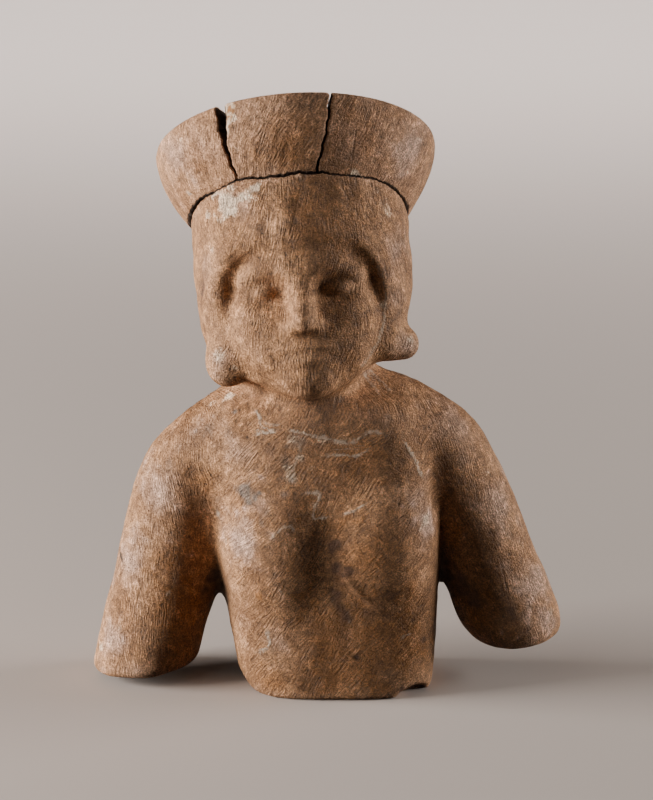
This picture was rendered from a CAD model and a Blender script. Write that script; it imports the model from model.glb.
"""A fired-clay fertility figure, broken at the waist and arms, with its headdress rejoined from sherds.

Forms are worked out in millimetres in the CAD frame and turned into metres when a mesh is made.
"""

import itertools
import math

import bpy
import numpy as np
from mathutils import Matrix, Vector
from mathutils.bvhtree import BVHTree
from mathutils.kdtree import KDTree


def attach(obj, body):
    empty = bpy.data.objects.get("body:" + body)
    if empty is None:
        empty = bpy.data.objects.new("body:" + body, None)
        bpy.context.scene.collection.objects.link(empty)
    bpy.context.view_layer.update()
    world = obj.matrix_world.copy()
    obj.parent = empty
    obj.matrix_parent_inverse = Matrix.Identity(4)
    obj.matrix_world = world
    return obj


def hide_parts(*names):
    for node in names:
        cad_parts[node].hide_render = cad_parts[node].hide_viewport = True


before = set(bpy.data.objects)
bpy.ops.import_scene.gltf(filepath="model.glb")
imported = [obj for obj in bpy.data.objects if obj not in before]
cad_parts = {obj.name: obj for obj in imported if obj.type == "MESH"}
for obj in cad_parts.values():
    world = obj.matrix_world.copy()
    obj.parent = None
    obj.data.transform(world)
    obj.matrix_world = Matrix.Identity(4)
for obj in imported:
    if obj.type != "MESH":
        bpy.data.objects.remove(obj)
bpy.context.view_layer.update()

MM = 0.001

# Where the three local frames stand, and how they lean to -X and tip to +Y in degrees
NECK_POINT, BODY_LEAN, BODY_TIP = (-6.2, 1, 63.2), 5.6, 1
HEAD_CENTRE, HEAD_LEAN, HEAD_TIP = (-6.6, 0, 81.5), 4.4, 12
CROWN_CENTRE, CROWN_LEAN, CROWN_TIP = (-7.6, 5.7, 97.1), 4.1, 32.1

# Trunk, measured down from the neck point
WAIST_HEIGHT, TRUNK_SHIFT, TRUNK_SWAY = -55, 0.7, 0.045
TRUNK_HALF_WIDTH, TRUNK_HALF_DEPTH = 22.2, 15
TRUNK_WIDEST_AT, TRUNK_TAPER, TRUNK_SQUARENESS = -30, 0.0022, 3
SHOULDER_TOP, SHOULDER_FALL = 2, 0.3

# The corner worn off the trunk under the right arm: a plane through x, z at this angle
WORN_CORNER = {"x": -19.4, "z": -61, "angle": 51.5}

# Each arm follows a smooth curve, x y z and radius, from the neck over the shoulder to the broken end
RIGHT_ARM = (
    (-12, 0.8, -6.2, 8.3),
    (-20.2, 1.4, -11.8, 9.6),
    (-26.3, 2.4, -18, 9.9),
    (-30, 3.2, -27.4, 10.2),
    (-33.4, 3.2, -37.8, 10.4),
    (-37.1, 3.2, -49.2, 10.6),
    (-41, 3.2, -61, 10.8),
)
LEFT_ARM = (
    (12, 0.8, -6, 8.3),
    (20.2, 1.4, -11.5, 9.3),
    (25.6, 2.4, -17.2, 9.5),
    (29.3, 3.2, -26, 9.7),
    (32.5, 3.2, -37.3, 9.9),
    (35.8, 3.2, -49, 10.2),
    (39.2, 3.2, -61, 10.4),
)
ARM_STEPS = 4
RIGHT_STUMP = {"height": -57.5, "wear": 2.5, "armpit": 7}
LEFT_STUMP = {"height": -60.3, "wear": 8, "armpit": 3}

# The middle of the gap between each arm and the trunk, and how far its dirt reaches
ARMPITS = {"right": (-19.5, 3, -41), "left": (21.5, 3, -40)}
ARMPIT_RADII = (4.5, 12, 10)

# Breasts, the furrow of the spine and the neck; a rod has two ends, x y z and radius
BREAST_OUT = 10
BREAST = {"centre": (0, -8.2, -32), "radii": (9.8, 8.8, 12.8)}
SPINE = ((0, 17.5, -8, 2.6), (0, 17.5, -60, 2.6))
NECK = ((0, 0.5, -8, 12.6), (-0.5, 1, 8, 12.2))

# Hair, in the head's frame: a rounded column, its lower hem and the opening round the face
HAIR_HALF_WIDTH, HAIR_HALF_DEPTH, HAIR_BACKSET, HAIR_SQUARENESS = 22, 21.3, 1.6, 2.2
HAIR_WIDEST = {"height": 9, "taper": 0.0052}
HAIR_DEEPEST = {"height": 8, "taper": 0.005}
HAIR_TOP = 30
HEM = {"height": -14.6, "rise": 0.08, "fall": 0.05}
OPENING = {"centre": (0, -15.3, -4.5), "radii": (17, 9.6, 18.4)}
JAW_NOTCH = {"centre": (15.5, -11, -18), "radii": (6, 7, 5)}
RIGHT_EAR = {"centre": (-16.4, -6.5, -11.6), "radii": (4, 5, 5)}
LEFT_EAR = {"centre": (15.4, -6.5, -9.2), "radii": (3.6, 4.4, 4.2)}
EAR_ORNAMENT = {"centre": (18.9, -5, -10.7), "radii": (3.3, 3.4, 3.2)}

# The face, in the head's frame: its paired forms are given on the +X side
SKULL = {"centre": (0, 0, -0.5), "radii": (16.9, 18, 19.6)}
FOREHEAD = {"centre": (0, -6, 10), "radii": (15, 13.4, 12.5)}
CHEEK = {"centre": (8.2, -10.8, -5), "radii": (6.4, 6, 7)}
JAW = {"centre": (0, -9.5, -10.5), "radii": (12, 9.5, 9)}
CHIN = {"centre": (0, -14.6, -16.4), "radii": (4.8, 3.8, 3.2)}
BROW = ((2.5, -15.6, 4.4, 2.2), (10, -13, 3.8, 1.9))
EYE_SOCKET = {"centre": (7, -18.4, 1.2), "radii": (4.4, 2.9, 2.9)}
EYELID = {"centre": (7, -14, 1.2), "radii": (3.5, 2.7, 1.9)}
NOSE = ((0, -16.6, 3.5, 1.9), (0, -20.4, -4.8, 2.4))
NOSTRIL = {"centre": (2.3, -18.2, -5.8), "radii": (1.8, 2.2, 1.7)}
UPPER_LIP = {"centre": (0, -17.8, -10.1), "radii": (5, 2.1, 1.3)}
LOWER_LIP = {"centre": (0, -17.5, -12.5), "radii": (4.3, 2.2, 1.4)}

# A chip out of the front of the underside, to the left of the middle
WAIST_CHIP = {"centre": (17.5, -12, -0.2), "radii": (5.2, 5.4, 2.7)}

# The rim round the broken waist is worn off over this height
WAIST_WEAR = 0.3

# How far each form reaches as it melts into the next
REACH = {
    "shoulder": 8, "worn corner": 4, "breast": 5, "spine": 5, "hair": 4, "opening": 3, "notch": 2, "ear": 2,
    "forehead": 4, "cheek": 4, "jaw": 5, "chin": 4, "brow": 3, "socket": 2.5, "eyelid": 0.8, "nose": 2,
    "nostril": 1.4, "lip": 1.2, "face": 2.6, "neck": 4, "head": 2.4, "waist": 1.8, "chip": 0.8,
    "hair top": 0.4, "underside": 0.5, "rim": 1.6, "crack": 0.35, "sherd foot": 0.25,
}

# Headdress
CROWN_FOOT_RADIUS, CROWN_RIM_RADIUS, CROWN_HEIGHT, CROWN_DISH = 22.3, 28.6, 14.7, 0.8
WALL_SLOPE = 0.93

# The gaps at the cracks and under the sherds, and the cracks as angles that turn from the front to +X
SEAM_GAP, BED_GAP = 0.3, 0.16
CRACK_MEETING = (2, 3)
LEFT_CRACK = {"foot": -30.4, "rim": -29.3, "wander": 0.25, "phase": 0.4, "gape": 1.5, "chip": 3}
MIDDLE_CRACK = {"foot": 11.6, "rim": 17.2, "wander": 0.3, "phase": 2.1, "gape": 0.2, "chip": 0.1}
BACK_CRACK = {"foot": 168, "rim": 175, "wander": 1.2, "phase": 4, "gape": 0.2, "chip": 0.3}
CHIP_HEIGHT, CHIP_DEEPEST = 7, 0.965

# The sherds, left and right as the viewer sees them: the cracks beside each, its box and its wiping's slant
SHERDS = {
    "left": {"start": BACK_CRACK, "end": LEFT_CRACK, "box": ((-30, 4), (-28, 30)), "slant": 6},
    "middle": {"start": LEFT_CRACK, "end": MIDDLE_CRACK, "box": ((-18, 10), (-30, 5)), "slant": 28},
    "right": {"start": MIDDLE_CRACK, "end": BACK_CRACK, "box": ((0, 30), (-30, 30)), "slant": 14},
}
SHERD_UPRIGHT, SHERD_STEP = (-2.5, 16.5), 0.3

# Slants of the wiping in degrees, and the mean radius that turns an angle round each form into a length
WIPING_SLANT = {"trunk": 38, "head": 4, "arm": 9}
MEAN_RADIUS = {"trunk": 17, "arm": 10, "headdress": 26}

# Uneven surfaces, in layers of height, size and seed; a streak's size is across, along and out
FIGURE_BUMPS = ((0.32, 13, 1), (0.17, 5.5, 2), (0.08, 2.6, 3))
HAIR_BUMPS = ((0.4, 7, 6), (0.16, 3, 7))
SHERD_BUMPS = ((0.2, 11, 11), (0.08, 4, 12))
FIGURE_STREAKS = ((0.06, (1.9, 8, 8), 4),)
SHERD_STREAKS = ((0.1, (2.3, 12, 5), 13), (0.05, (0.75, 5, 3), 14))

# Camera at the photograph's viewing angle
PICTURE_WIDTH, PICTURE_HEIGHT = 653, 800
PIXELS_PER_MM = 4.9
CAMERA_TARGET = Vector((-2.1, 0, 60)) * MM
CAMERA_DISTANCE, CAMERA_ELEVATION, CAMERA_LENS, SENSOR = 0.55, 14, 121.3, 36

# Area lights: target, distance, azimuth, elevation, size, spread, watts and colour
BEHIND = Vector((0, 1.4, 0))
LIGHTS = {
    "key": (CAMERA_TARGET, 0.7, -84, 6, 0.36, 180, 14, (1, 0.93, 0.85)),
    "rim": (CAMERA_TARGET, 0.7, 98, 8, 0.34, 180, 5.4, (1, 0.94, 0.87)),
    "top": (CAMERA_TARGET, 0.7, -45, 40, 0.4, 180, 0.42, (1, 0.9, 0.8)),
    "floor glow": (BEHIND, 1.4, 0, 90, 1.6, 50, 15, (1, 0.93, 0.89)),
}
WORLD_COLOUR, WORLD_STRENGTH = (0.8, 0.72, 0.68, 1), 0.004
FLOOR_COLOUR, FLOOR_HALF_WIDTH = (0.68, 0.61, 0.58, 1), 4


# Smooth forms as signed distances over arrays, negative inside

def lerp(a, b, share):
    return a + (b - a) * share


def smoothstep(value, low, high):
    share = np.clip((value - low) / (high - low), 0, 1)
    return share * share * (3 - 2 * share)


def blend(a, b, reach):
    near = np.maximum(reach - np.abs(a - b), 0) / reach
    return np.minimum(a, b) - near * near * reach / 4


def carve(a, b, reach):
    return -blend(-a, b, reach)


def meet(a, b, reach):
    return -blend(-a, -b, reach)


def egg(p, form):
    u, v, w = (p[i] - form["centre"][i] for i in range(3))
    rx, ry, rz = form["radii"]
    near = np.sqrt((u / rx) ** 2 + (v / ry) ** 2 + (w / rz) ** 2)
    slope = np.sqrt((u / rx**2) ** 2 + (v / ry**2) ** 2 + (w / rz**2) ** 2)
    return near * (near - 1) / np.maximum(slope, 1e-6)


def rod(p, ends):
    a, b = ends
    dx, dy, dz = (b[i] - a[i] for i in range(3))
    u, v, w = (p[i] - a[i] for i in range(3))
    t = np.clip((u * dx + v * dy + w * dz) / (dx * dx + dy * dy + dz * dz), 0, 1)
    return np.sqrt((u - dx * t) ** 2 + (v - dy * t) ** 2 + (w - dz * t) ** 2) - lerp(a[3], b[3], t)


def column(x, y, half_width, half_depth, squareness):
    share = (np.abs(x / half_width) ** squareness + np.abs(y / half_depth) ** squareness) ** (1 / squareness)
    reach = np.sqrt(x * x + y * y)
    return reach - reach / np.maximum(share, 1e-3)


class Local:
    """A frame that leans to -X and tips to +Y."""

    def __init__(self, origin, lean, tip):
        turn = Matrix.Rotation(math.radians(-lean), 3, "Y") @ Matrix.Rotation(math.radians(-tip), 3, "X")
        self.origin = np.array(origin, float)
        self.turn = np.array(turn, float)

    def inward(self, p):
        offset = [p[i] - self.origin[i] for i in range(3)]
        return [sum(offset[i] * self.turn[i, axis] for i in range(3)) for axis in range(3)]

    def outward(self, points):
        return points @ self.turn.T + self.origin


body = Local(NECK_POINT, BODY_LEAN, BODY_TIP)
head = Local(HEAD_CENTRE, HEAD_LEAN, HEAD_TIP)
crown = Local(CROWN_CENTRE, CROWN_LEAN, CROWN_TIP)


# Noise from a hashed lattice, from -1 to 1

def noise(points, size, seed=0):
    q = points / np.asarray(size, float)
    cell = np.floor(q).astype(np.int64)
    part = q - cell
    part = part * part * (3 - 2 * part)
    total = np.zeros(len(points))
    for corner in itertools.product((0, 1), repeat=3):
        key = (cell + corner) @ np.array([73856093, 19349663, 83492791]) + seed * 999331
        key = (key ^ (key >> 13)) * 1274126177
        key = ((key ^ (key >> 16)) * 461845907) & 0x7FFFFFFF
        weight = np.prod(np.where(corner, part, 1 - part), axis=1)
        total += weight * (key / 0x3FFFFFFF - 1)
    return total


def uneven(points, layers):
    return sum(height * noise(points, size, seed) for height, size, seed in layers)


# The body

def trunk_middle(z):
    return TRUNK_SHIFT + TRUNK_SWAY * (z - WAIST_HEIGHT)


def trunk(p):
    x, y, z = p
    taper = TRUNK_TAPER * (z - TRUNK_WIDEST_AT) ** 2
    half_width, half_depth = TRUNK_HALF_WIDTH - taper, TRUNK_HALF_DEPTH - taper / 2
    side = column(x - trunk_middle(z), y, half_width, half_depth, TRUNK_SQUARENESS)
    top = SHOULDER_TOP - SHOULDER_FALL * np.abs(x) - z
    slope = math.radians(WORN_CORNER["angle"])
    corner = math.cos(slope) * (x - WORN_CORNER["x"]) + math.sin(slope) * (z - WORN_CORNER["z"])
    return carve(carve(side, top, REACH["shoulder"]), corner, REACH["worn corner"])


def smooth_line(corners, shares):
    """Points on a smooth line through the corners, at the given shares of each span."""
    corners = [np.array(c, float) for c in corners]
    ends = [2 * corners[0] - corners[1], *corners, 2 * corners[-1] - corners[-2]]
    line = []
    for a, b, c, d in zip(ends, ends[1:], ends[2:], ends[3:]):
        for t in shares(b, c):
            curve = 2 * a - 5 * b + 4 * c - d, 3 * b - a - 3 * c + d
            line.append(b + 0.5 * ((c - a) * t + curve[0] * t**2 + curve[1] * t**3))
    return line + [corners[-1]]


def arm(p, chain, stump):
    nodes = smooth_line(chain, lambda start, end: np.arange(ARM_STEPS) / ARM_STEPS)
    limb = rod(p, nodes[:2])
    for ends in itertools.pairwise(nodes[1:]):
        limb = np.minimum(limb, rod(p, ends))
    return carve(limb, p[2] - stump["height"], stump["wear"])


def body_form(p):
    form = trunk(p)
    for chain, stump in ((RIGHT_ARM, RIGHT_STUMP), (LEFT_ARM, LEFT_STUMP)):
        form = blend(form, arm(p, chain, stump), stump["armpit"])
    for side in (-1, 1):
        breast = egg((p[0] - side * BREAST_OUT - trunk_middle(p[2]), p[1], p[2]), BREAST)
        form = blend(form, breast, REACH["breast"])
    return carve(form, rod(p, SPINE), REACH["spine"])


# The head

def hair_mass(p):
    x, y, z = p
    half_width = np.maximum(HAIR_HALF_WIDTH - HAIR_WIDEST["taper"] * (z - HAIR_WIDEST["height"]) ** 2, 4)
    half_depth = np.maximum(HAIR_HALF_DEPTH - HAIR_DEEPEST["taper"] * (z - HAIR_DEEPEST["height"]) ** 2, 4)
    side = column(x, y - HAIR_BACKSET, half_width, half_depth, HAIR_SQUARENESS)
    hem = HEM["height"] + HEM["rise"] * x + HEM["fall"] * y - z
    return carve(carve(side, -hem, REACH["hair"]), HAIR_TOP - z, REACH["hair"])


def features(p, form):
    m = [np.abs(p[0]), p[1], p[2]]
    for part, reach in ((CHEEK, "cheek"), (JAW, "jaw"), (CHIN, "chin")):
        form = blend(form, egg(m, part), REACH[reach])
    form = blend(form, rod(m, BROW), REACH["brow"])
    form = carve(form, egg(m, EYE_SOCKET), REACH["socket"])
    form = blend(form, egg(m, EYELID), REACH["eyelid"])
    form = blend(form, rod(m, NOSE), REACH["nose"])
    for part, reach in ((NOSTRIL, "nostril"), (UPPER_LIP, "lip"), (LOWER_LIP, "lip")):
        form = blend(form, egg(m, part), REACH[reach])
    return form


def head_form(p):
    hood = carve(hair_mass(p), egg(p, OPENING), REACH["opening"])
    notched = carve(hood, egg(p, JAW_NOTCH), REACH["notch"])
    left_ear = blend(egg(p, EAR_ORNAMENT), egg(p, LEFT_EAR), REACH["ear"])
    hair = blend(blend(notched, egg(p, RIGHT_EAR), REACH["ear"]), left_ear, REACH["ear"])
    face = features(p, blend(egg(p, SKULL), egg(p, FOREHEAD), REACH["forehead"]))
    return blend(hair, face, REACH["face"])


# The broken bed between head and headdress

def bed_height(x, y):
    wave = 0.3 * np.sin(0.21 * x + 0.9) * np.cos(0.17 * y - 0.4) + 0.2 * np.sin(0.43 * x - 0.31 * y)
    ragged = 0.1 * np.sin(1.3 * x + 0.4) * np.sin(1.1 * y) + 0.07 * np.sin(3.1 * x - 1.9 * y)
    return wave + ragged + 0.05 * np.sin(5.3 * x + 2.2 * y + 1)


def bed_gap(x, y):
    closing = 0.5 + 0.5 * np.sin(0.9 * x + 1.3 * np.sin(0.6 * y))
    thin = lerp(BED_GAP, 0.3 * BED_GAP, closing * smoothstep(x, -2, 4))
    return thin + 0.9 * smoothstep(-x, 14, 23) * smoothstep(-y, -12, 8)


def figure_form(p):
    in_body = body.inward(p)
    necked = blend(body_form(in_body), rod(in_body, NECK), REACH["neck"])
    form = blend(necked, head_form(head.inward(p)), REACH["head"])
    form = carve(form, p[2] + WAIST_WEAR, REACH["waist"])
    form = carve(form, egg(p, WAIST_CHIP), REACH["chip"])
    x, y, height = crown.inward(p)
    form = meet(form, height - bed_height(x, y) + bed_gap(x, y) / 2, REACH["hair top"])
    return meet(form, -p[2], REACH["underside"])


# The headdress sherds, in the crown's frame

def wall_radius(height):
    share = np.clip(height / CROWN_HEIGHT, -0.2, 1)
    return lerp(CROWN_FOOT_RADIUS, CROWN_RIM_RADIUS, np.sin(share * math.pi / 2))


def past_crack(p, crack):
    """How far a point lies past the crack, turning from the front to +X, and its share of the way out."""
    x, y, height = p
    angle = np.radians(lerp(crack["foot"], crack["rim"], height / CROWN_HEIGHT))
    radius = wall_radius(height)
    out_x = radius * np.sin(angle) - CRACK_MEETING[0]
    out_y = -radius * np.cos(angle) - CRACK_MEETING[1]
    length = np.sqrt(out_x**2 + out_y**2)
    dx, dy = out_x / length, out_y / length
    from_x, from_y = x - CRACK_MEETING[0], y - CRACK_MEETING[1]
    reach = from_x * dx + from_y * dy
    phase = crack["phase"]
    sway = np.sin(phase + 0.31 * reach) * np.sin(0.5 + 0.3 * height + phase)
    ragged = 0.12 * np.sin(1.7 * height + 2 * phase + 0.4 * reach)
    ragged += 0.06 * np.sin(4.1 * height + 1.3 * reach)
    aside = (crack["wander"] * sway + ragged) * np.clip(3 * reach / length, 0, 1)
    return from_y * dx - from_x * dy - aside, reach / length


def gape(crack, height):
    return SEAM_GAP / 2 + crack["gape"] / 2 * np.clip(height / CROWN_HEIGHT, 0, 1)


def flake(crack, height, share):
    return crack["chip"] * smoothstep(height, CHIP_HEIGHT, CROWN_HEIGHT) * smoothstep(share, CHIP_DEEPEST, 1)


def sherd_form(p, start, end):
    x, y, height = p
    reach = np.sqrt(x * x + y * y)
    side = (reach - wall_radius(height)) * WALL_SLOPE
    dish = CROWN_DISH * smoothstep(CROWN_RIM_RADIUS - reach, 2.2, 9)
    form = meet(side, height - CROWN_HEIGHT + dish, REACH["rim"])
    past_start, share = past_crack(p, start)
    past_end, _ = past_crack(p, end)
    form = meet(form, gape(start, height) + flake(start, height, share) - past_start, REACH["crack"])
    form = meet(form, past_end + gape(end, height), REACH["crack"])
    return meet(form, bed_height(x, y) + bed_gap(x, y) / 2 - height, REACH["sherd foot"])


# A skin over a form: one vertex in each crossed cell, a quad for each crossed grid edge

CORNERS = np.array(list(itertools.product((0, 1), repeat=3)))
CELL_EDGES = [
    (a, b) for a, b in itertools.combinations(range(8), 2) if np.abs(CORNERS[a] - CORNERS[b]).sum() == 1
]


def gradient(form, points, reach=0.04):
    slope = np.empty_like(points)
    for axis in range(3):
        step = np.zeros(3)
        step[axis] = reach
        slope[:, axis] = (form((points + step).T) - form((points - step).T)) / (2 * reach)
    return slope


def settle(form, points):
    """The points moved most of the way onto the surface, by 0.3 mm at most."""
    slope = gradient(form, points)
    step = np.clip(form(points.T) / ((slope**2).sum(1) + 1e-6), -0.3, 0.3)
    return points - step[:, None] * slope


def neighbour_mean(points, quads):
    ends = np.concatenate([np.stack([quads[:, i], quads[:, (i + 1) % 4]], 1) for i in range(4)])
    first, second = np.concatenate([ends, ends[:, ::-1]]).T
    sums = [np.bincount(first, points[second, axis], len(points)) for axis in range(3)]
    count = np.bincount(first, minlength=len(points))
    return np.stack(sums, 1) / np.maximum(count, 1)[:, None]


def skin(form, lines, rounds):
    """Vertices and quads of the surface where the form is zero, on a grid with the given lines."""
    grid = np.meshgrid(*[line.astype(np.float32) for line in lines], indexing="ij")
    values = form(grid)
    inside = values < 0
    size = [len(line) - 1 for line in lines]
    shifted = [tuple(slice(c, c + n) for c, n in zip(corner, size)) for corner in CORNERS]
    count = sum(inside[at].astype(np.int8) for at in shifted)
    cells = np.argwhere((count > 0) & (count < 8))
    ids = np.full(size, -1, np.int64)
    ids[tuple(cells.T)] = np.arange(len(cells))
    corner_at = [tuple((cells + corner).T) for corner in CORNERS]
    depth = np.stack([values[at] for at in corner_at], 1)
    place = np.stack([np.stack([lines[i][at[i]] for i in range(3)], 1) for at in corner_at], 1)
    total, hits = np.zeros((len(cells), 3)), np.zeros(len(cells))
    for a, b in CELL_EDGES:
        crossed = (depth[:, a] < 0) != (depth[:, b] < 0)
        share = (depth[crossed, a] / (depth[crossed, a] - depth[crossed, b]))[:, None]
        total[crossed] += lerp(place[crossed, a], place[crossed, b], share)
        hits[crossed] += 1
    points = total / hits[:, None]

    quads = []
    for axis in range(3):
        low, high = [slice(None)] * 3, [slice(None)] * 3
        low[axis], high[axis] = slice(0, -1), slice(1, None)
        starts_inside = inside[tuple(low)]
        crossed = np.argwhere(starts_inside != inside[tuple(high)])
        v, w = (axis + 1) % 3, (axis + 2) % 3
        within = [(crossed[:, i] > 0) & (crossed[:, i] < size[i]) for i in (v, w)]
        crossed = crossed[within[0] & within[1]]
        ring = []
        for dv, dw in ((1, 1), (0, 1), (0, 0), (1, 0)):
            cell = crossed.copy()
            cell[:, v] -= dv
            cell[:, w] -= dw
            ring.append(ids[tuple(cell.T)])
        ring = np.stack(ring, 1)
        outward = starts_inside[tuple(crossed.T)]
        quads.append(np.where(outward[:, None], ring, ring[:, ::-1]))
    quads = np.concatenate(quads)
    quads = quads[(quads >= 0).all(1)]
    points = settle(form, points)
    for _ in range(rounds):
        points = settle(form, lerp(points, neighbour_mean(points, quads), 0.5))
    return points, quads


def vertex_normals(points, quads):
    a, b, c, d = (points[quads[:, i]] for i in range(4))
    face = np.cross(c - a, d - b)
    sums = [sum(np.bincount(quads[:, i], face[:, axis], len(points)) for i in range(4)) for axis in range(3)]
    total = np.stack(sums, 1)
    return total / np.maximum(np.linalg.norm(total, axis=1), 1e-9)[:, None]


def hollowness(points, quads, rounds):
    """How far each vertex lies below its smoothed neighbourhood, in millimetres."""
    smooth = points
    for _ in range(rounds):
        smooth = lerp(smooth, neighbour_mean(smooth, quads), 0.7)
    return ((smooth - points) * vertex_normals(points, quads)).sum(1)


def grid_line(low, high, step_at):
    coarseness = 1
    line = [low]
    while line[-1] < high:
        line.append(line[-1] + coarseness * step_at(line[-1]))
    return np.array(line)


def add_object(name, data):
    new = bpy.data.objects.new(name, data)
    bpy.context.scene.collection.objects.link(new)
    return new


def mesh_object(name, points, quads, attributes):
    mesh = bpy.data.meshes.new(name)
    mesh.from_pydata((points * MM).tolist(), [], quads.tolist())
    mesh.shade_smooth()
    for key, values in attributes.items():
        kind, field = ("FLOAT_VECTOR", "vector") if values.ndim == 2 else ("FLOAT", "value")
        layer = mesh.attributes.new(key, kind, "POINT")
        layer.data.foreach_set(field, values.astype(np.float32).ravel())
    return add_object(name, mesh)


# Camera

def make_camera():
    camera = add_object("camera", bpy.data.cameras.new("camera"))
    elevation = math.radians(CAMERA_ELEVATION)
    back = Vector((0, -math.cos(elevation), math.sin(elevation)))
    camera.location = CAMERA_TARGET + back * CAMERA_DISTANCE
    camera.rotation_mode = "QUATERNION"
    camera.rotation_quaternion = (-back).to_track_quat("-Z", "Y")
    camera.data.lens = CAMERA_LENS
    camera.data.sensor_width = SENSOR
    camera.data.clip_start, camera.data.clip_end = 0.01, 50
    bpy.context.scene.camera = camera
    return camera


camera = make_camera()


def seen_at(tree, px, py):
    """The point that the camera sees at a pixel of the picture, if any, and the direction of the view."""
    focal = CAMERA_LENS / SENSOR * PICTURE_HEIGHT
    local = Vector(((px - PICTURE_WIDTH / 2) / focal, (PICTURE_HEIGHT / 2 - py) / focal, -1))
    direction = (camera.rotation_quaternion @ local).normalized()
    return tree.ray_cast(camera.location / MM, direction)[0], direction


def mounds(points, tree, places, ragged=1.0):
    """Soft mounds on the places, each given by its pixel, radius in pixels and height."""
    total = np.zeros(len(points))
    for px, py, radius, height in places.values():
        hit, _ = seen_at(tree, px, py)
        if hit:
            reach = np.linalg.norm(points - np.array(hit), axis=1) * ragged
            total += height * np.exp(-((reach / (radius / PIXELS_PER_MM)) ** 2))
    return total


# Flow: the way the wet clay was wiped, as (across, along, out) in millimetres

def slanted(around, up, out, slant):
    across = around * np.cos(slant) - up * np.sin(slant)
    along = around * np.sin(slant) + up * np.cos(slant)
    return np.stack([across, along, out], 1)


def trunk_flow(points):
    x, y, z = body.inward(points.T)
    slant = np.radians(lerp(WIPING_SLANT["trunk"], WIPING_SLANT["head"], smoothstep(z, -10, 8)))
    return slanted(np.arctan2(x, -y) * MEAN_RADIUS["trunk"], z - 2, np.hypot(x, y), slant)


def limb_flow(points):
    in_body = np.stack(body.inward(points.T), 1)
    flows = {}
    for side, chain in ((-1, RIGHT_ARM), (1, LEFT_ARM)):
        a, b = np.array(chain[3][:3], float), np.array(chain[4][:3], float)
        along = (b - a) / np.linalg.norm(b - a)
        depth = np.cross(along, [0, 1, 0])
        depth /= np.linalg.norm(depth)
        aside = np.cross(along, depth)
        offset = in_body - a
        u, v = offset @ depth, offset @ aside
        around = np.arctan2(v, -u) * MEAN_RADIUS["arm"]
        slant = math.radians(-side * WIPING_SLANT["arm"])
        flows[side] = slanted(around, offset @ along, np.hypot(u, v), slant)
    return np.where(in_body[:, :1] < 0, flows[-1], flows[1])


def on_limb(points):
    p = body.inward(points.T)
    limbs = np.minimum(arm(p, RIGHT_ARM, RIGHT_STUMP), arm(p, LEFT_ARM, LEFT_STUMP))
    return smoothstep(trunk(p) - limbs, -2, 3)


# Stains and worn patches, where the camera sees them: pixel, radius in pixels, strength

PALE_PLACES = dict(
    top_of_hair=(226, 203, 14, 1.3),
    top_of_hair_side=(208, 215, 9, 0.8),
    hair_in_front=(250, 196, 7, 0.7),
    hair_above_temple=(212, 249, 6, 0.6),
    temple=(250, 253, 4, 0.5),
    right_lock=(219, 358, 9, 0.7),
    right_lock_below=(234, 368, 5, 0.8),
    shoulder_by_neck=(228, 396, 6, 1.1),
    top_of_shoulder=(213, 405, 9, 0.5),
    flank_edge=(231, 578, 6, 0.5),
    flank_high=(226, 540, 5, 0.7),
    left_flank=(425, 520, 8, 0.9),
    left_flank_below=(430, 548, 6, 0.6),
    right_arm_low=(119, 627, 6, 0.6),
    right_stump=(101, 648, 7, 0.8),
    left_shoulder=(457, 392, 8, 0.4),
    left_arm=(486, 474, 9, 0.6),
    left_arm_edge=(522, 545, 8, 0.5),
    left_stump=(551, 612, 7, 0.7),
    beside_cheek=(384, 305, 5, 0.9),
    ear_ornament=(411, 340, 6, 0.8),
    neck_fan=(374, 383, 6, 0.5),
    seam_filler=(355, 174, 5, 1.3),
    seam_crumbs=(300, 176, 7, 0.5),
    seam_crumbs_left=(262, 180, 6, 0.5),
    seam_crumbs_right=(378, 190, 6, 0.6),
    hair_by_seam=(385, 205, 14, 0.6),
    throat_crust=(322, 438, 9, 0.65),
    throat_crust_right=(346, 440, 8, 0.5),
    throat_crust_left=(292, 436, 9, 0.7),
    throat_crust_low=(300, 458, 8, 0.85),
    chest_crust=(292, 478, 7, 0.8),
    hook_crust=(316, 506, 5, 0.6),
    chest_crust_right=(265, 432, 9, 0.5),
    shoulder_crust=(238, 425, 10, 0.4),
    breast_crust=(286, 530, 5, 0.5),
    belly_crust=(262, 652, 7, 0.6),
    crown_edge=(419, 140, 12, 0.5),
    crown_rim_left=(178, 140, 10, 0.5),
    middle_sherd_flake=(232, 116, 5, 1.2),
    middle_sherd_edge=(236, 150, 4, 0.5),
)
PINK_PLACES = dict(
    hair_above_ear=(205, 262, 14, 0.4),
    hair_on_crown=(240, 205, 16, 0.5),
    hair_lock=(224, 362, 14, 0.6),
    right_shoulder_low=(160, 490, 26, 0.8),
    right_chest=(238, 450, 20, 0.6),
    right_flank=(238, 540, 22, 1.1),
    right_flank_low=(243, 620, 13, 0.4),
    right_arm=(128, 560, 24, 0.8),
    right_arm_low=(112, 640, 18, 0.7),
    breast_side=(262, 505, 12, 0.6),
    left_flank=(427, 530, 16, 1.1),
    left_flank_high=(418, 495, 12, 0.6),
    left_shoulder=(456, 425, 24, 0.6),
    left_arm=(496, 500, 24, 0.9),
    left_arm_low=(536, 580, 22, 0.9),
    left_stump=(545, 622, 16, 0.7),
    hair_on_left=(396, 250, 18, 0.7),
    left_hair_low=(398, 300, 12, 0.5),
    ear_ornament=(408, 345, 12, 0.6),
    crown_right=(410, 150, 22, 0.8),
    crown_left=(172, 150, 18, 0.5),
    belly=(282, 645, 12, 0.5),
)
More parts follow.
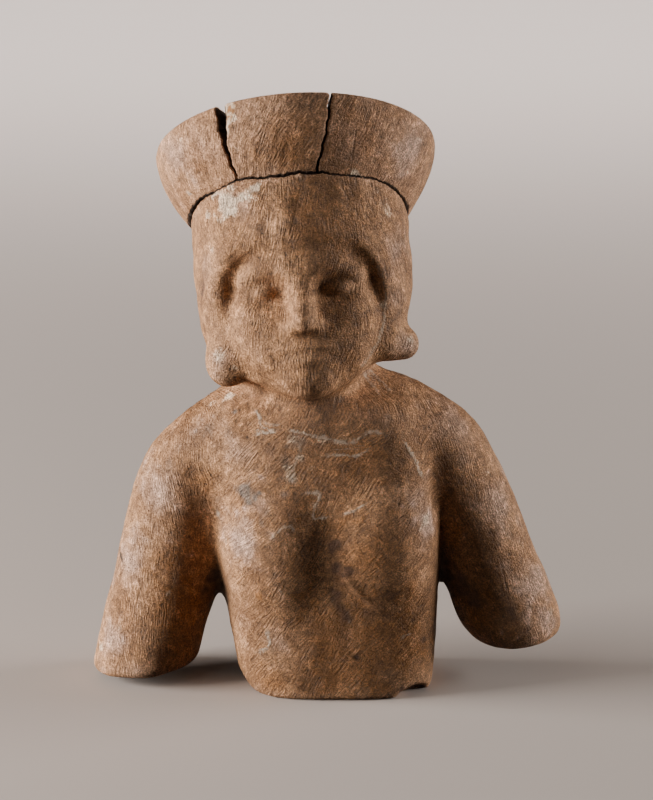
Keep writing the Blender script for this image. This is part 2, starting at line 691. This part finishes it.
OCHRE_PLACES = dict(
    right_arm_inside=(178, 612, 24, 1.1),
    right_arm_middle=(172, 560, 18, 0.8),
    right_armpit=(203, 480, 12, 0.5),
    left_arm_inside=(452, 530, 16, 0.9),
    left_arm_low_inside=(478, 610, 22, 1),
    belly_low=(352, 665, 34, 1.3),
    belly_middle=(335, 630, 28, 1.1),
    belly_left=(405, 640, 24, 1.2),
    belly_right=(272, 680, 20, 0.7),
    left_breast=(372, 560, 26, 0.8),
    chest=(340, 470, 30, 0.5),
    right_breast=(302, 570, 18, 0.4),
    left_breast_side=(410, 590, 14, 0.8),
    chest_middle=(330, 525, 14, 0.5),
    chest_left=(375, 455, 18, 0.5),
    middle_sherd=(290, 140, 26, 0.7),
    beside_crack=(332, 144, 9, 1),
    left_sherd=(196, 165, 20, 0.5),
    forehead=(318, 215, 30, 0.8),
    right_sherd=(360, 140, 24, 0.7),
)
DARK_PLACES = dict(
    dent_over_brow=(263, 228, 8, 0.8),
    dent_in_middle=(298, 206, 9, 0.7),
    forehead_middle=(318, 246, 16, 0.5),
    crease_by_temple=(246, 240, 5, 0.5),
    hair_at_side=(204, 285, 6, 0.9),
    hair_by_temple=(204, 275, 17, 0.9),
    cheek_side=(219, 336, 7, 0.8),
    behind_cheek=(226, 347, 4, 0.5),
    hole_under_lock=(242, 381, 8, 1),
    left_crease=(364, 237, 5, 0.7),
    left_crease_lower=(374, 248, 5, 0.6),
    left_crease_end=(382, 260, 4, 0.6),
    fringe=(350, 226, 6, 0.6),
    left_hair=(398, 315, 8, 0.9),
    under_ear_ornament=(391, 349, 9, 0.7),
    hole_behind_jaw=(382, 367, 5, 1.2),
    neck=(341, 408, 8, 0.5),
    neck_left=(372, 418, 9, 0.6),
    chest_top=(268, 449, 11, 0.7),
    chest_right=(250, 466, 7, 0.5),
    chest_high_left=(383, 475, 7, 0.6),
    chest_pit=(399, 504, 3, 1.1),
    chest_mark=(349, 503, 3, 0.9),
    chest_speck=(361, 478, 3, 0.8),
    between_breasts=(334, 546, 8, 0.6),
    valley=(336, 568, 9, 1.5),
    valley_high=(332, 546, 6, 1),
    belly=(352, 640, 38, 0.4),
    chest=(300, 458, 40, 0.3),
    blue_grey_spot=(244.5, 491, 4, 0.9),
    under_breasts=(330, 606, 22, 0.3),
    waist_chip=(412, 688, 5, 2),
    waist_chip_side=(402, 689, 4, 1.6),
    waist_chip_end=(422, 687, 4, 1.6),
    left_armpit_deep=(440, 575, 7, 1.6),
    right_armpit_deep=(214, 575, 7, 1.5),
    right_arm_inner=(205, 590, 8, 1.2),
    valley_low=(338, 594, 7, 0.9),
    belly_top=(346, 616, 7, 0.8),
    right_breast_under=(266, 588, 7, 0.4),
    right_breast_low=(296, 622, 8, 0.5),
    left_breast_mark=(353, 569, 5, 0.9),
    left_breast_speck=(366, 585, 2.5, 1.2),
    left_breast_fold=(367, 611, 7, 0.8),
    left_side_speck=(411, 565, 3, 0.8),
    left_side_speck_low=(414, 587, 3, 0.8),
    right_flank_speck=(242, 612, 5, 0.7),
    right_flank_speck_low=(246, 590, 4, 0.6),
    right_flank_mark=(235, 577, 3, 0.7),
    belly_speck=(357, 658, 3, 1.2),
    belly_mark=(344, 661, 4, 0.8),
    belly_low=(326, 673, 7, 0.7),
    belly_low_left=(382, 666, 8, 0.6),
    belly_lower_left=(390, 676, 5, 0.7),
    flank_low=(422, 640, 8, 0.8),
    flank_lowest=(418, 662, 7, 0.7),
    right_armpit=(207, 540, 9, 0.6),
    right_arm_high=(204, 500, 10, 0.7),
    right_arm_spot=(178, 515, 4, 0.6),
    left_shoulder_front=(446, 455, 8, 0.8),
    left_arm_inside=(462, 480, 9, 0.7),
    left_arm_spot=(450, 489, 4, 0.9),
    left_arm_small_spot=(462, 518, 3, 1),
    left_armpit=(447, 560, 10, 0.7),
    left_arm_low_spot=(489, 566, 4, 0.9),
    left_arm_low_inside=(474, 600, 16, 0.8),
    left_arm_below=(498, 618, 22, 0.6),
    left_arm_inner=(458, 580, 14, 0.9),
    left_arm_lower_spot=(512, 610, 6, 0.5),
    crown_left_low=(168, 160, 7, 0.6),
    crown_middle=(268, 132, 6, 0.5),
    crown_by_crack=(308, 128, 6, 0.5),
    crown_right=(378, 140, 7, 0.5),
)
GREY_PLACES = dict(
    blue_grey_spot=(244.5, 491, 8, 2.4),
    right_shoulder=(190, 442, 26, 0.6),
    right_shoulder_top=(214, 420, 14, 0.5),
    throat=(302, 442, 9, 0.9),
    throat_right=(286, 463, 9, 0.9),
    throat_edge=(292, 478, 6, 0.7),
    neck_left=(385, 424, 9, 0.6),
    chest_right=(229, 430, 10, 0.7),
    chest_edge=(266, 512, 6, 0.9),
    chest_edge_low=(262, 525, 4, 0.8),
    armpit=(217, 501, 5, 0.6),
    left_shoulder=(462, 459, 9, 0.8),
    left_arm=(481, 513, 6, 0.9),
    left_temple=(380, 285, 6, 0.7),
    left_lock=(397, 312, 6, 0.5),
    left_chest=(402, 415, 12, 0.6),
    left_chest_low=(412, 505, 9, 0.7),
    right_arm=(168, 470, 10, 0.6),
    right_arm_low=(142, 545, 8, 0.5),
    crown_patch=(232, 118, 5, 0.7),
    crown_right=(398, 165, 12, 0.5),
)

# Each stain with the seed of its ragged edges
STAINS = {
    "pale": (31, PALE_PLACES),
    "pink": (37, PINK_PLACES),
    "ochre": (39, OCHRE_PLACES),
    "dark": (33, DARK_PLACES),
    "grey": (35, GREY_PLACES),
}


def spread(points, tree, places, seed):
    """How strongly each vertex is stained by the places, with ragged edges."""
    ragged = 1 + 0.5 * noise(points, 2.6, seed) + 0.35 * noise(points, 1.1, seed + 1)
    return mounds(points, tree, places, ragged)


def stains(points, quads):
    tree = BVHTree.FromPolygons(points.tolist(), quads.tolist())
    found = {name: spread(points, tree, places, seed) for name, (seed, places) in STAINS.items()}
    found["root_side"], found["root_mask"] = traced(points, tree, ROOT_MARKS)
    found["groove_side"], found["groove_mask"] = traced(points, tree, GROOVES)
    return found


# Thin marks, where the camera sees them: strength, then the pixels they run through

ROOT_MARKS = dict(
    shoulder_by_neck=(0.8, (254, 410), (259, 416), (261, 429)),
    throat_right=(1, (255, 435), (262, 433), (277, 431)),
    throat=(1, (290, 430), (301, 433), (316, 436), (334, 440), (346, 443), (357, 440), (362, 436)),
    throat_left=(0.8, (362, 436), (372, 432), (384, 434)),
    under_throat=(1, (323, 456), (338, 455), (356, 456), (368, 450)),
    hook=(1, (304, 494), (319, 493), (318, 500), (314, 510), (314, 518), (320, 518), (329, 517)),
    left_chest=(0.7, (403, 440), (409, 449), (415, 460), (420, 472), (423, 478)),
    right_chest=(0.6, (288, 476), (293, 483)),
    beside_hook=(0.9, (343, 515), (348, 513), (355, 510), (365, 504)),
    breast_edge=(0.6, (270, 540), (280, 530), (290, 526), (296, 532)),
    throat_loop=(0.5, (298, 441), (300, 449), (297, 460), (293, 470), (296, 482)),
    shoulder=(0.5, (262, 421), (270, 425), (283, 424)),
    belly=(0.9, (266, 628), (269, 640), (267, 648), (258, 652)),
    breast=(0.6, (279, 588), (282, 596)),
    right_arm=(0.6, (171, 588), (166, 598)),
    right_armpit=(0.7, (217, 509), (219, 519)),
    belly_middle=(0.5, (350, 618), (349, 626)),
    left_belly=(0.5, (398, 642), (404, 636), (413, 634)),
    left_sherd=(0.6, (184, 191), (194, 196)),
    neck=(0.5, (362, 372), (372, 384), (380, 396)),
    neck_low=(0.5, (366, 368), (380, 380), (392, 392)),
    cheek=(0.5, (360, 369), (372, 352), (382, 330), (385, 308), (384, 287), (377, 264)),
)
GROOVES = dict(
    slot_in_arm=(1.3, (120, 550), (121, 556), (123.5, 563)),
    chest_scratch=(0.25, (340, 549), (352, 534), (370, 516)),
    arm_scratch=(0.4, (140, 590), (134, 620)),
    arm_scratch_above=(0.4, (156, 520), (150, 548)),
    left_arm_scratch=(0.4, (500, 560), (508, 592)),
    middle_sherd=(0.4, (256, 158), (262, 134)),
    right_sherd=(0.4, (352, 160), (356, 128)),
)
RIDGE_HALF_WIDTH = 0.55
RIDGES = dict(
    breast_fold=(0.4, (345, 574), (354, 588), (366, 600), (382, 611)),
    face_edge=(0.14, (379, 262), (386, 286), (386, 310), (383, 330)),
    right_face_edge=(0.12, (252, 247), (238, 258), (228, 270)),
    under_left_armpit=(0.1, (436, 470), (440, 500)),
)
DENTS = dict(
    hair_middle=(297, 204, 9, 0.35),
    hair_right=(266, 226, 7, 0.45),
    hair_side=(203, 286, 6, 0.5),
    notch_below_hair=(199.5, 327, 4, 0.4),
    under_lock=(245, 381, 7, 0.5),
    behind_jaw=(378, 362, 6, 0.5),
    chest_pit=(399, 504, 2.5, 0.25),
    breast_pit=(366, 585, 2.2, 0.35),
    belly_pit=(357, 659, 2.5, 0.3),
    flank_pit=(257, 572, 2.5, 0.3),
    arm_pit=(136, 494, 2.5, 0.3),
    neck_pit=(198, 411, 2.2, 0.25),
    shoulder_pit=(209, 492, 2.5, 0.3),
    stump_pit=(550, 627, 2.5, 0.3),
    crown_pit=(241, 169, 2.4, 0.3),
    belly_hollow=(350, 632, 12, 0.2),
    throat_hollow=(330, 420, 14, 0.25),
)


def traced(points, tree, marks):
    """How far aside of the nearest mark each vertex lies, and how much of the mark is left there."""
    places, asides, strengths = [], [], []
    for strength, *corners in marks.values():
        line = smooth_line(corners, lambda a, b: np.arange(0, 1, 1.2 / max(np.linalg.norm(b - a), 1.2)))
        seen = [seen_at(tree, px, py) for px, py in line]
        seen = [(np.array(hit), np.array(direction)) for hit, direction in seen if hit]
        for n, (place, direction) in enumerate(seen[1:-1], 1):
            aside = np.cross(seen[n + 1][0] - seen[n - 1][0], direction)
            places.append(place)
            asides.append(aside / max(np.linalg.norm(aside), 1e-9))
            strengths.append(strength * min(1, n / 3, (len(seen) - 1 - n) / 3))
    side, mask = np.full(len(points), 3.0), np.zeros(len(points))
    if places:
        nearest = KDTree(len(places))
        for n, place in enumerate(places):
            nearest.insert(place, n)
        nearest.balance()
        for n, point in enumerate(points):
            place, index, distance = nearest.find(point)
            if distance < 2:
                side[n] = (point - places[index]) @ asides[index]
                mask[n] = strengths[index] * (1 - smoothstep(distance, 0.8, 1.5))
    return side, mask


# Relief and dirt

SEAM_DIRT = 1.6


def pressed(points, quads):
    """Small dents and ridges, as a height along the normals in millimetres."""
    tree = BVHTree.FromPolygons(points.tolist(), quads.tolist())
    side, mask = traced(points, tree, RIDGES)
    return mask * np.exp(-((side / RIDGE_HALF_WIDTH) ** 2)) - mounds(points, tree, DENTS)


def shut_in(points):
    """Soot and soil in the seam under the headdress and in the armpits."""
    x, y, height = crown.inward(points.T)
    seam = smoothstep(height - bed_height(x, y) + bed_gap(x, y) / 2, -0.2, 0)
    in_body = body.inward(points.T)
    dirt = SEAM_DIRT * seam
    for middle in ARMPITS.values():
        dirt += np.exp(-sum(((in_body[i] - middle[i]) / ARMPIT_RADII[i]) ** 2 for i in range(3)))
    return dirt


def figure_relief(points, quads):
    normals = vertex_normals(points, quads)
    flow = np.where(on_limb(points)[:, None] > 0.5, limb_flow(points), trunk_flow(points))
    in_head, in_crown = head.inward(points.T), crown.inward(points.T)
    on_hair = smoothstep(egg(in_head, OPENING), 0.5, 2.5) * smoothstep(points[:, 2], 68, 76)
    height = uneven(points, FIGURE_BUMPS) + on_hair * uneven(points, HAIR_BUMPS)
    height += uneven(flow, FIGURE_STREAKS) * smoothstep(noise(points, 9, 5), -0.3, 0.5)
    height += pressed(points, quads)
    clear_of_seam, clear_of_floor = smoothstep(-in_crown[2], 0.3, 2.5), smoothstep(points[:, 2], 0.2, 2)
    return points + normals * (height * clear_of_seam * clear_of_floor)[:, None]


def make_figure():
    """The figure, on a grid that is finer at the head."""
    across = grid_line(-54, 50, lambda x: 0.56 if -31 < x < 17 else 0.66)
    deep = grid_line(-28, 28, lambda y: 0.58)
    up = grid_line(-3, 112, lambda z: 0.5 if z > 62 else 0.64)
    points, quads = skin(figure_form, (across, deep, up), 3)
    points = figure_relief(points, quads)
    attributes = {
        "flow": trunk_flow(points),
        "limb_flow": limb_flow(points),
        "on_limb": on_limb(points),
        "hollow": hollowness(points, quads, 6),
        "deep_hollow": hollowness(points, quads, 60),
        "shut_in": shut_in(points),
        "core": np.zeros(len(points)),
        **stains(points, quads),
    }
    return mesh_object("clay_figure", points, quads, attributes)


def broken_faces(p, start, end):
    """How much dirt of the joins lies on each vertex, and how much bare clay of the flaked edge shows."""
    x, y, z = p
    underside = smoothstep(z - bed_height(x, y) - bed_gap(x, y) / 2, 0.16, -0.04)
    past_start, share = past_crack(p, start)
    past_end, _ = past_crack(p, end)
    flaked = flake(start, z, share)
    off_start, off_end = past_start - gape(start, z) - flaked, -past_end - gape(end, z)
    on_crack = smoothstep(np.minimum(off_start, off_end), 0.7, 0.2) * smoothstep(CROWN_HEIGHT - z, 0.1, 0.8)
    inside_wall = smoothstep(wall_radius(z) - np.hypot(x, y), 0.1, 1.2)
    core = smoothstep(off_start, 0.7, 0.2) * smoothstep(flaked, 0.1, 0.35)
    return SEAM_DIRT * np.maximum(underside, on_crack * inside_wall), core


def make_sherd(name, start, end, box, slant):
    lines = [grid_line(low, high, lambda _: SHERD_STEP) for low, high in (*box, SHERD_UPRIGHT)]
    points, quads = skin(lambda p: sherd_form(p, start, end), lines, 2)
    x, y, z = points.T
    reach = np.hypot(x, y)
    flow = slanted(np.arctan2(x, -y) * MEAN_RADIUS["headdress"], z, reach, math.radians(slant))
    dirt, core = broken_faces(points.T, start, end)
    wall = smoothstep(reach - wall_radius(z), -1.2, -0.3) * smoothstep(CROWN_HEIGHT - z, 0, 1)
    height = wall * (uneven(points, SHERD_BUMPS) + uneven(flow, SHERD_STREAKS))
    points = points + vertex_normals(points, quads) * height[:, None]
    attributes = {
        "flow": flow,
        "limb_flow": flow,
        "on_limb": np.zeros(len(points)),
        "hollow": hollowness(points, quads, 8),
        "deep_hollow": hollowness(points, quads, 60),
        "shut_in": dirt,
        "core": core,
    }
    points = crown.outward(points)
    return mesh_object(name, points, quads, {**attributes, **stains(points, quads)})


# Shader nodes

class Graph:
    """Short calls that add nodes to a material. A value is a socket, a number, a tuple or None."""

    def __init__(self, name):
        self.material = bpy.data.materials.new(name)
        self.material.use_nodes = True
        self.tree = self.material.node_tree
        self.shader = self.tree.nodes["Principled BSDF"]

    def plug(self, socket, value):
        if isinstance(value, bpy.types.NodeSocket):
            self.tree.links.new(value, socket)
        elif value is not None:
            socket.default_value = value

    def node(self, kind, inputs, **settings):
        node = self.tree.nodes.new(kind)
        for key, value in settings.items():
            setattr(node, key, value)
        for key, value in inputs.items():
            self.plug(node.inputs[key], value)
        return node

    def math(self, operation, a, b=None, clamp=False):
        return self.node("ShaderNodeMath", {0: a, 1: b}, operation=operation, use_clamp=clamp).outputs[0]

    def vector(self, operation, a, b):
        return self.node("ShaderNodeVectorMath", {0: a, 1: b}, operation=operation).outputs["Vector"]

    def step(self, value, low, high, to_low=0.0, to_high=1.0):
        inputs = {"Value": value, "From Min": low, "From Max": high, "To Min": to_low, "To Max": to_high}
        return self.node("ShaderNodeMapRange", inputs, interpolation_type="SMOOTHSTEP").outputs[0]

    def noise(self, place, size, detail=2.0, roughness=0.5, output="Fac"):
        scaled = self.vector("DIVIDE", place, size if isinstance(size, tuple) else (size, size, size))
        inputs = {"Vector": scaled, "Scale": 1.0, "Detail": detail, "Roughness": roughness}
        return self.node("ShaderNodeTexNoise", inputs).outputs[output]

    def mix(self, share, a, b, blend_type="MIX"):
        inputs = {0: share, 6: a, 7: b}
        return self.node("ShaderNodeMix", inputs, data_type="RGBA", blend_type=blend_type).outputs[2]

    def blend(self, share, a, b):
        return self.math("ADD", a, self.math("MULTIPLY", share, self.math("SUBTRACT", b, a)))

    def add(self, *terms):
        total = None
        for value, weight in terms:
            term = self.math("MULTIPLY", value, weight)
            total = term if total is None else self.math("ADD", total, term)
        return total

    def tinted(self, colour, amount, strength, tint):
        """The colour turned toward the tint by a share from 0 to 1, times its strength."""
        return self.mix(self.math("MULTIPLY", amount, strength), colour, tint)

    def read(self, name, output="Fac"):
        return self.node("ShaderNodeAttribute", {}, attribute_name=name).outputs[output]


def earth(red, green, blue):
    """A colour of the clay under white light, in hundredths."""
    return (red / 100, green / 100, blue / 100, 1)


BROWN, TAN, DARK = earth(34, 16.8, 7.8), earth(51, 27, 13.5), earth(13, 7, 4.6)
OCHRE, PINK, CREAM = earth(40, 18, 6.5), earth(63, 42, 33), earth(86, 67, 50)
CRUST = earth(90, 71, 56)
GREY, SOOT = earth(18, 16, 14.5), earth(3.5, 2.4, 2)


def bent_flow(g, name, place):
    """The flow of the wiping, made to wander a little."""
    wander = g.vector("SUBTRACT", g.noise(place, 3.2, output="Color"), (0.5, 0.5, 0.5))
    return g.vector("ADD", g.read(name, "Vector"), g.vector("MULTIPLY", wander, (0.5, 0.4, 0.4)))


def wiped(g, flows, size, detail, turn=0.0):
    """Short streaks along the way the clay was wiped, over the trunk and head and over the limbs."""
    streaks = []
    for flow in flows:
        if turn:
            inputs = {"Vector": flow, "Angle": math.radians(turn)}
            flow = g.node("ShaderNodeVectorRotate", inputs, rotation_type="Z_AXIS").outputs[0]
        streaks.append(g.noise(flow, (*size, size[1]), detail, 0.6))
    return g.blend(g.read("on_limb"), *streaks)


def clay_material(name, pale):
    """Fired clay with its wiping, stains and wear; the paler it is, the more is worn to pink."""
    g = Graph(name)
    place = g.vector("MULTIPLY", g.node("ShaderNodeTexCoord", {}).outputs["Object"], (1000, 1000, 1000))
    broad, patch = g.noise(place, 13, 4, 0.6), g.noise(place, 4.6, 5, 0.65)
    mottle, grain = g.noise(place, 1.5, 4, 0.65), g.noise(place, 0.34, 3, 0.65)
    flows = bent_flow(g, "flow", place), bent_flow(g, "limb_flow", place)
    fine, crossing = wiped(g, flows, (0.26, 2.6), 2), wiped(g, flows, (0.28, 3.4), 2, 17)
    coarse = wiped(g, flows, (0.8, 5.5), 3)
    stria = g.blend(g.step(g.noise(place, 6, 2), 0.42, 0.6), fine, crossing)
    ragged = g.add((mottle, 0.5), (stria, 0.35), (grain, 0.35), (patch, 0.35))
    hollow = g.step(g.read("hollow"), 0.0, 0.16)
    deep = g.step(g.read("deep_hollow"), 0.1, 1.2)
    ridge = g.step(g.read("deep_hollow"), -0.1, -0.9)

    # Stains and worn patches
    colour = g.mix(g.step(g.add((broad, 0.5), (patch, 0.3), (mottle, 0.2)), 0.4, 0.6), BROWN, TAN)
    ochre = g.add((g.read("ochre"), 0.9), (broad, 0.5), (ragged, 0.5))
    colour = g.tinted(colour, g.step(ochre, 0.65, 1.5), 0.85, OCHRE)
    pink = g.add((g.read("pink"), 0.6), (g.noise(place, 9, 4, 0.6), 0.6), (ragged, 0.9), (ridge, 0.15))
    colour = g.tinted(colour, g.step(pink, 1.0 - pale, 1.75 - pale), 0.8, PINK)
    worn = g.add((g.read("pale"), 0.75), (ragged, 1.0), (g.noise(place, 0.8, 4, 0.7), 0.8))
    colour = g.tinted(colour, g.step(worn, 1.45, 1.95), 0.85, CREAM)
    greyed = g.add((g.read("grey"), 0.7), (ragged, 0.9))
    colour = g.tinted(colour, g.step(greyed, 0.9, 1.7), 0.8, GREY)
    stained = g.add((g.read("dark"), 0.85), (deep, 0.12), (hollow, 0.18), (ragged, 0.9))
    colour = g.tinted(colour, g.step(stained, 0.95, 1.8), 0.9, DARK)
    specks = g.step(g.noise(place, 0.55, 4, 0.7), 0.585, 0.655)
    colour = g.tinted(colour, specks, 0.75, DARK)

    # Streaks and grain, then bare clay and the dirt of the joins
    swept = g.step(g.noise(place, 5, 3), 0.35, 0.65, 0.3, 1.2)
    swept = g.math("MULTIPLY", g.math("SUBTRACT", stria, 0.5), swept)
    shade = g.add((swept, 1.9), (grain, 3.4), (mottle, 2.0), (coarse, 0.3), (patch, 0.9))
    colour = g.mix(1.0, colour, g.math("EXPONENT", g.math("SUBTRACT", shade, 3.3)), "MULTIPLY")
    colour = g.mix(g.read("core"), colour, g.mix(g.step(mottle, 0.4, 0.6), OCHRE, CREAM))
    buried = g.math("SUBTRACT", g.read("shut_in"), g.read("core"))
    buried = g.add((buried, 1.0), (mottle, 0.7), (grain, 0.4))
    colour = g.tinted(colour, g.step(buried, 0.75, 1.35), 0.92, SOOT)

    # Root marks and grooves, with a wobble of their own
    wobble = g.math("SUBTRACT", g.add((g.noise(place, 0.9, 3), 0.9), (grain, 0.7)), 0.8)
    aside = g.math("ABSOLUTE", g.math("ADD", g.read("root_side"), wobble))
    thin = g.math("SUBTRACT", aside, g.step(g.noise(place, 1.2, 3), 0.3, 0.7, -0.12, 0.16))
    root = g.math("MULTIPLY", g.step(thin, 0.44, 0.04), g.step(g.read("root_mask"), 0.1, 0.9))
    root = g.math("MULTIPLY", root, g.step(g.noise(place, 0.7, 4, 0.7), 0.36, 0.56, 0.15, 1.0))
    colour = g.tinted(colour, root, 0.8, CRUST)
    aside = g.math("ABSOLUTE", g.add((g.read("groove_side"), 1.0), (wobble, 0.4)))
    groove = g.math("MULTIPLY", g.step(aside, 0.3, 0.08), g.read("groove_mask"))
    colour = g.mix(g.math("MULTIPLY", groove, 0.7, clamp=True), colour, SOOT)

    height = g.add((swept, 0.55), (coarse, 0.1), (grain, 0.3), (mottle, 0.34))
    height = g.add((height, 1.0), (root, 0.14), (groove, -0.25), (specks, -0.08))
    bump = g.node("ShaderNodeBump", {"Height": height, "Distance": MM, "Strength": 1.0})
    g.plug(g.shader.inputs["Base Color"], colour)
    g.plug(g.shader.inputs["Normal"], bump.outputs[0])
    g.plug(g.shader.inputs["Roughness"], g.step(mottle, 0.3, 0.7, 0.55, 0.75))
    g.shader.inputs["Specular IOR Level"].default_value = 0.35
    return g.material


def add_light(name, target, distance, azimuth, elevation, size, spread, watts, colour):
    a, e = math.radians(azimuth), math.radians(elevation)
    back = Vector((math.sin(a) * math.cos(e), -math.cos(a) * math.cos(e), math.sin(e)))
    lamp = add_object(name, bpy.data.lights.new(name, "AREA"))
    lamp.location = target + back * distance
    lamp.rotation_euler = (-back).to_track_quat("-Z", "Y").to_euler()
    lamp.data.size, lamp.data.spread = size, math.radians(spread)
    lamp.data.energy, lamp.data.color = watts, colour


def make_lights():
    world = bpy.data.worlds.new("studio")
    bpy.context.scene.world = world
    world.use_nodes = True
    background = world.node_tree.nodes["Background"]
    background.inputs["Color"].default_value = WORLD_COLOUR
    background.inputs["Strength"].default_value = WORLD_STRENGTH
    for name, settings in LIGHTS.items():
        add_light(name, *settings)


def make_floor():
    mesh = bpy.data.meshes.new("floor")
    w = FLOOR_HALF_WIDTH
    mesh.from_pydata([(-w, -w, 0), (w, -w, 0), (w, w, 0), (-w, w, 0)], [], [(0, 1, 2, 3)])
    floor = add_object("floor", mesh)
    material = bpy.data.materials.new("floor")
    material.use_nodes = True
    shader = material.node_tree.nodes["Principled BSDF"]
    shader.inputs["Base Color"].default_value = FLOOR_COLOUR
    shader.inputs["Roughness"].default_value = 0.95
    mesh.materials.append(material)
    floor.visible_diffuse = False


body_clay = clay_material("body_clay", 0.0)
headdress_clay = clay_material("headdress_clay", 0.15)
figure = make_figure()
figure.data.materials.append(body_clay)
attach(figure, "root")
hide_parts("figure")
sherds = {
    f"headdress_{side}_sherd": make_sherd(f"crown_sherd_{side}", **cut) for side, cut in SHERDS.items()
}
for node, sherd in sherds.items():
    sherd.data.materials.append(headdress_clay)
    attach(sherd, "root")
    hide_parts(node)
make_floor()
make_lights()
